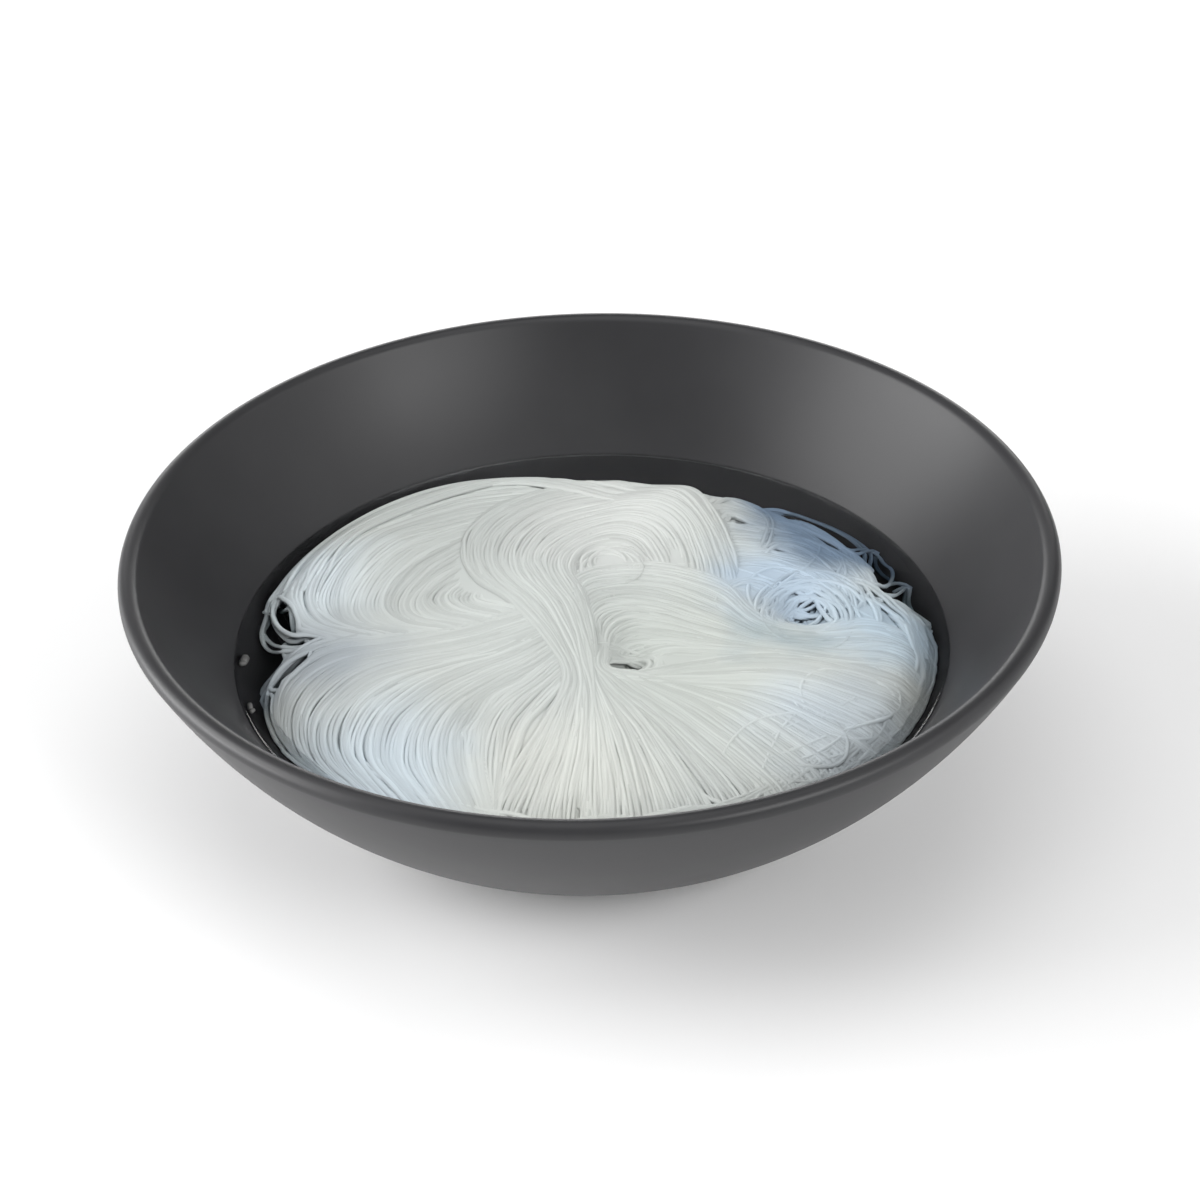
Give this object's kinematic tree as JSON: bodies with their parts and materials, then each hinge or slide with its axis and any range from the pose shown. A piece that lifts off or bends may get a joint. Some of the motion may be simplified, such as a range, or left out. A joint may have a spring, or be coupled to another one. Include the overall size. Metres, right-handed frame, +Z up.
{
  "type": "bowl of glass noodles in water",
  "caption": "Shallow dark round bowl with a low combed heap of soaked glass noodles standing in clear water.",
  "frame": {"origin": "centre of the bowl's foot ring, on the surface that it stands on", "axes": "+Z up along the bowl's axis, +X to the right in the picture, +Y away from the viewer"},
  "size_m": [0.2, 0.2, 0.058],
  "materials": {
    "stoneware": "satin",
    "noodle": "gloss",
    "water": "polished"
  },
  "bodies": {
    "root": {"bowl": "stoneware", "noodles": "noodle", "water": "water"}
  },
  "joints": []
}
